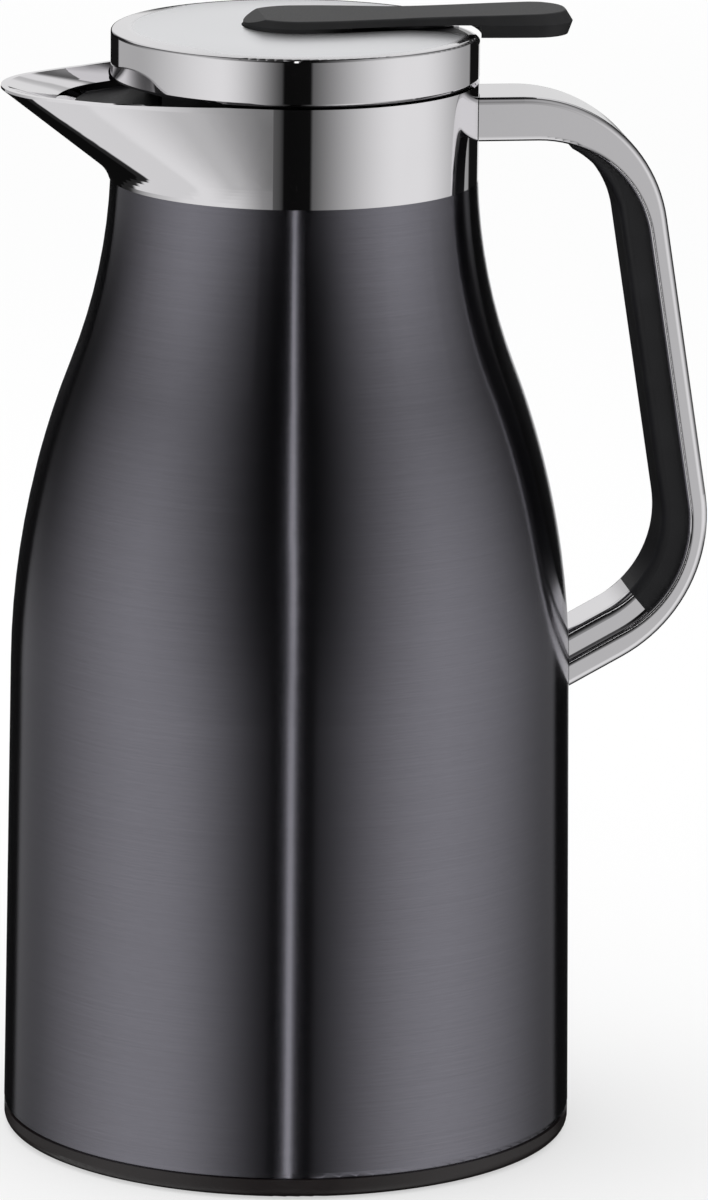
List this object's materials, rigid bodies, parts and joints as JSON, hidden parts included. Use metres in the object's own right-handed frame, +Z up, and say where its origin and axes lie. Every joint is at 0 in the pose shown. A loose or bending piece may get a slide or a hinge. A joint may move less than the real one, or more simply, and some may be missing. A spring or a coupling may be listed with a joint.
{
  "type": "thermal jug",
  "caption": "Vacuum-insulated steel jug with a spouted bright collar, a bent side handle with a black grip and a screw-in lid whose thumb lever opens the pouring valve.",
  "frame": {"origin": "centre of the flat underside of the base pad, on the body's axis", "axes": "+Z up along the body's axis, +X towards the handle, -X towards the spout, Y across the width"},
  "size_m": [0.1584, 0.128, 0.2548],
  "materials": {
    "brushed_body": "fine horizontal brushing under a dark clear coat",
    "steel": "plain drawn stainless",
    "bright": "mirror bright",
    "black_plastic": "fine matt",
    "lever_plastic": "matt charcoal",
    "grip_plastic": "soft matt black",
    "base_plastic": "matt dark brown black",
    "rubber": "soft seal rubber",
    "seal_silicone": "pale silicone",
    "screw_steel": "plated screws and pin",
    "getter_metal": "dull"
  },
  "bodies": {
    "jug": {"outer_shell": "brushed_body", "shell_bottom": "steel", "vacuum_plug": "steel", "getter": "getter_metal", "inner_vessel": "steel", "base_cap": "base_plastic", "base_pad": "rubber", "collar": "bright", "lip_gasket": "seal_silicone", "neck_insert": "black_plastic", "handle_root_screws": "screw_steel", "handle_shell": "bright", "handle_grip": "grip_plastic", "foot_bracket": "steel", "handle_foot_screw": "screw_steel"},
    "lid": {"lid_cover": "bright", "lid_core": "black_plastic", "lid_screws": "screw_steel", "stem_seal": "seal_silicone", "stopper_body": "black_plastic", "stopper_gasket": "seal_silicone", "lever_pin": "screw_steel"},
    "lever": {"lever": "lever_plastic"},
    "valve": {"push_cap": "black_plastic", "valve_spring": "screw_steel", "valve_stem": "steel", "valve_disc": "black_plastic", "valve_seal": "seal_silicone", "valve_nut": "screw_steel"}
  },
  "joints": [
    {"name": "lid_lift", "type": "slide", "parent": "jug", "child": "lid", "axis": [0, 0, 1], "range_m": [0, 0.055]},
    {"name": "lever_press", "type": "hinge", "parent": "lid", "child": "lever", "pos_m": [-0.0094, 0, 0.2466], "axis": [0, 1, 0], "range_deg": [0, 3.4], "stiffness_Nm_per_rad": 0.3, "springref_deg": -5.73},
    {"name": "valve_stroke", "type": "slide", "parent": "lid", "child": "valve", "axis": [0, 0, -1], "range_m": [0, 0.0007], "deforming": ["valve_spring"]}
  ],
  "couplings": [
    {"joint": "valve_stroke", "follows": "lever_press", "m_per_rad": 0.0114}
  ]
}
